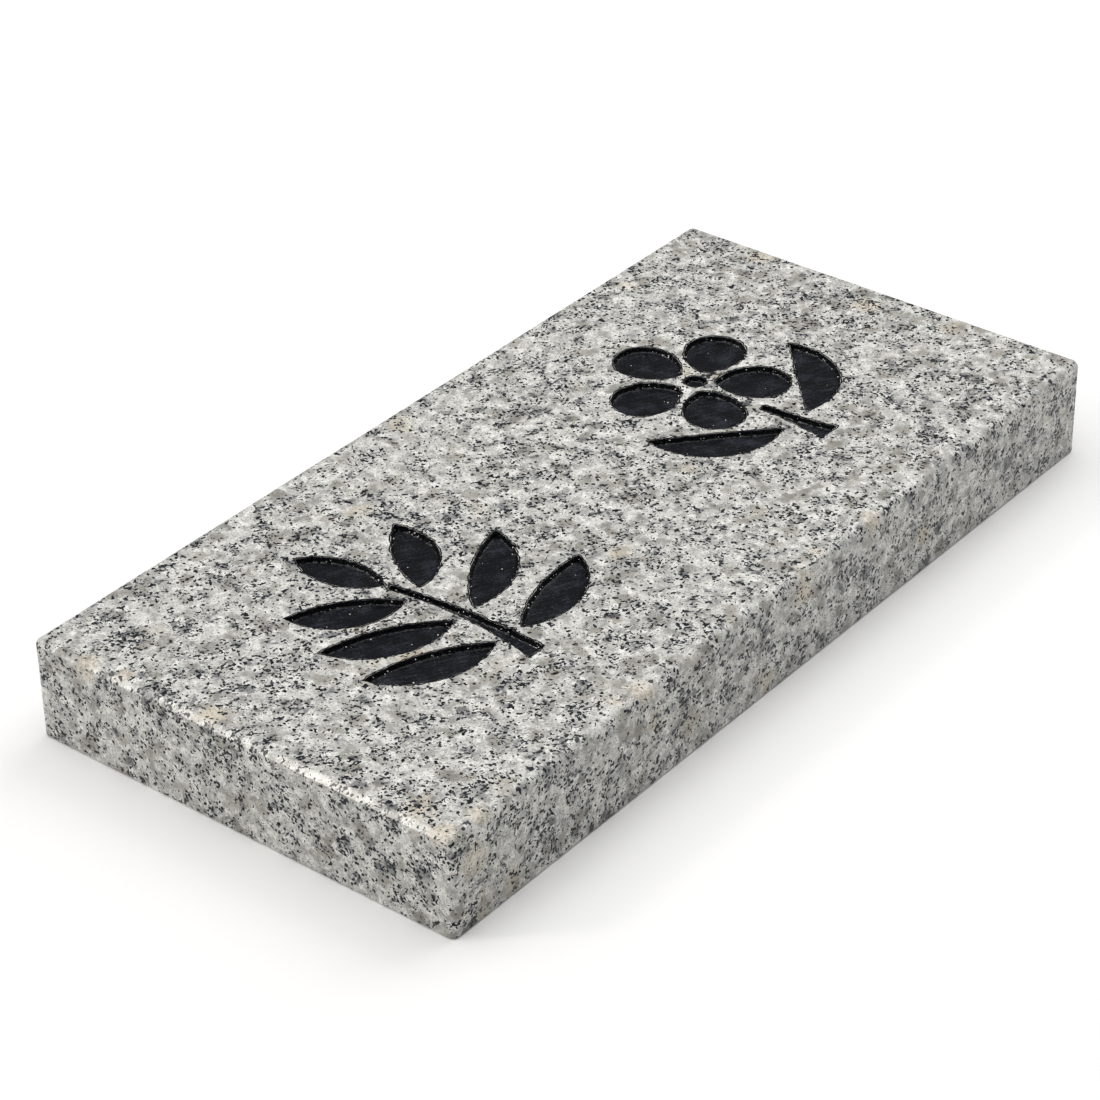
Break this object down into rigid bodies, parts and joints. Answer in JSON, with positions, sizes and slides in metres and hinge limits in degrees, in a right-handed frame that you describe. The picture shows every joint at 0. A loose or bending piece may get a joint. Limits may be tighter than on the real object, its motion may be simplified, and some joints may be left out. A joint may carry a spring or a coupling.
{
  "type": "carved granite name plate",
  "caption": "Flat polished granite slab with slightly rounded edges, its face carved with a leaf sprig and a blossom in black enamelled recesses.",
  "frame": {"origin": "centre of the flat back, at the point under the middle of the slab", "axes": "+X along the long side, from left to right as the face is read; +Y to the plate's upper edge; +Z out of the carved face"},
  "size_m": [0.2, 0.0984, 0.0214],
  "materials": {
    "granite": "polished face, fine-honed sides; white and grey granite with beige feldspar and black mica",
    "enamel": "black enamel paint, satin on the floors and glossy on the walls"
  },
  "bodies": {
    "root": {"blossom_eye": "enamel", "blossom_petal_1": "enamel", "blossom_petal_2": "enamel", "blossom_petal_3": "enamel", "blossom_petal_4": "enamel", "blossom_petal_5": "enamel", "blossom_sepal_left": "enamel", "blossom_sepal_right": "enamel", "blossom_stalk": "enamel", "sprig_leaf_crown": "enamel", "sprig_leaf_left_1": "enamel", "sprig_leaf_left_2": "enamel", "sprig_leaf_left_3": "enamel", "sprig_leaf_right_1": "enamel", "sprig_leaf_right_2": "enamel", "sprig_leaf_right_3": "enamel", "sprig_stem": "enamel", "stone_slab": "granite"}
  },
  "joints": []
}
